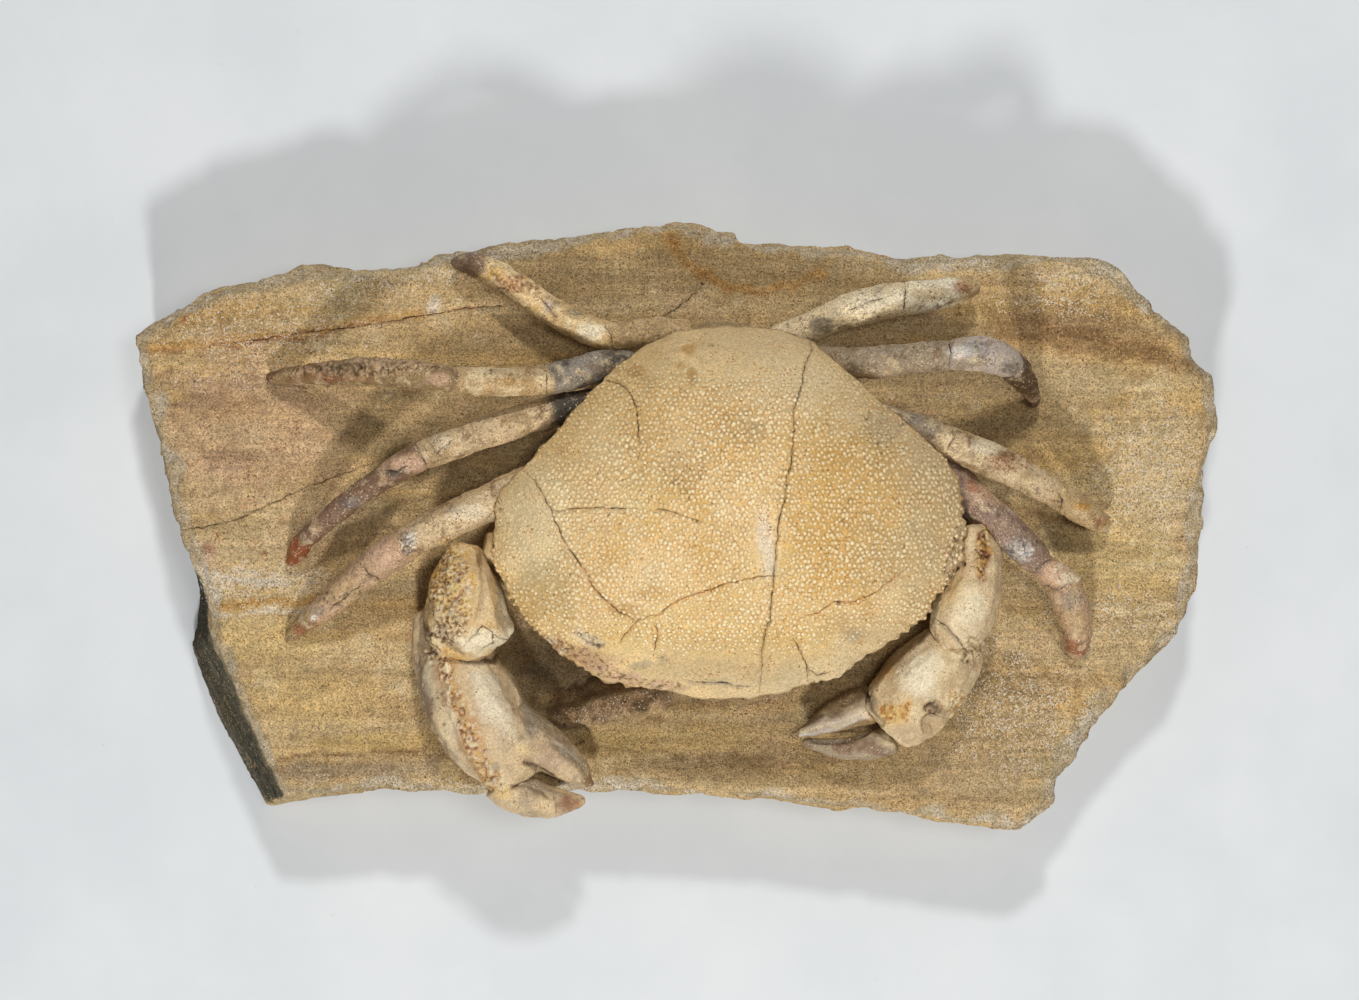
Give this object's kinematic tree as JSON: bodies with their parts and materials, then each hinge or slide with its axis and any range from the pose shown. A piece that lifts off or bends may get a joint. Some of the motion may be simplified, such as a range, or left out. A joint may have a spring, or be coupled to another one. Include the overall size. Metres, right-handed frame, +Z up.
{
  "type": "crab fossil on sandstone slab",
  "caption": "Fossil crab with a broad domed, granular carapace, claws and jointed walking legs, standing on a broken slab of banded sandstone.",
  "frame": {"origin": "middle of the slab's box on its flat underside", "axes": "+X along the slab, towards the crab's side that is on the right for a viewer in front of it; +Y towards the crab's rear, so that the crab faces -Y; +Z up"},
  "size_m": [0.273, 0.152, 0.0758],
  "materials": {
    "sandstone": "rough, banded tan and ochre",
    "carapace": "granular, cream on ochre, cracked",
    "claw": "smooth cream with rusty crust",
    "leg": "mottled cream, grey and brown",
    "leg_tip": "smooth rusty brown"
  },
  "bodies": {
    "root": {"carapace": "carapace", "left_claw_arm": "claw", "left_claw_finger": "claw", "left_claw_palm": "claw", "left_claw_wrist": "claw", "left_leg_1_shin": "leg", "left_leg_1_thigh": "leg", "left_leg_1_tip": "leg_tip", "left_leg_2_hip": "leg", "left_leg_2_shin": "leg", "left_leg_2_thigh": "leg", "left_leg_2_tip": "leg_tip", "left_leg_3_hip": "leg", "left_leg_3_shin": "leg", "left_leg_3_thigh": "leg", "left_leg_3_tip": "leg_tip", "left_leg_4_hip": "leg", "left_leg_4_shin": "leg", "left_leg_4_thigh": "leg", "left_leg_4_tip": "leg_tip", "right_claw_arm": "claw", "right_claw_finger": "claw", "right_claw_fixed_finger": "claw", "right_claw_palm": "claw", "right_claw_wrist": "claw", "right_leg_1_shin": "leg", "right_leg_1_thigh": "leg", "right_leg_1_tip": "leg_tip", "right_leg_2_hip": "leg", "right_leg_2_thigh": "leg", "right_leg_2_tip": "leg_tip", "right_leg_3_shin": "leg", "right_leg_3_thigh": "leg", "right_leg_3_tip": "leg_tip", "right_leg_4_shin": "leg", "right_leg_4_thigh": "leg", "right_leg_4_tip": "leg_tip", "sandstone_slab": "sandstone"}
  },
  "joints": []
}
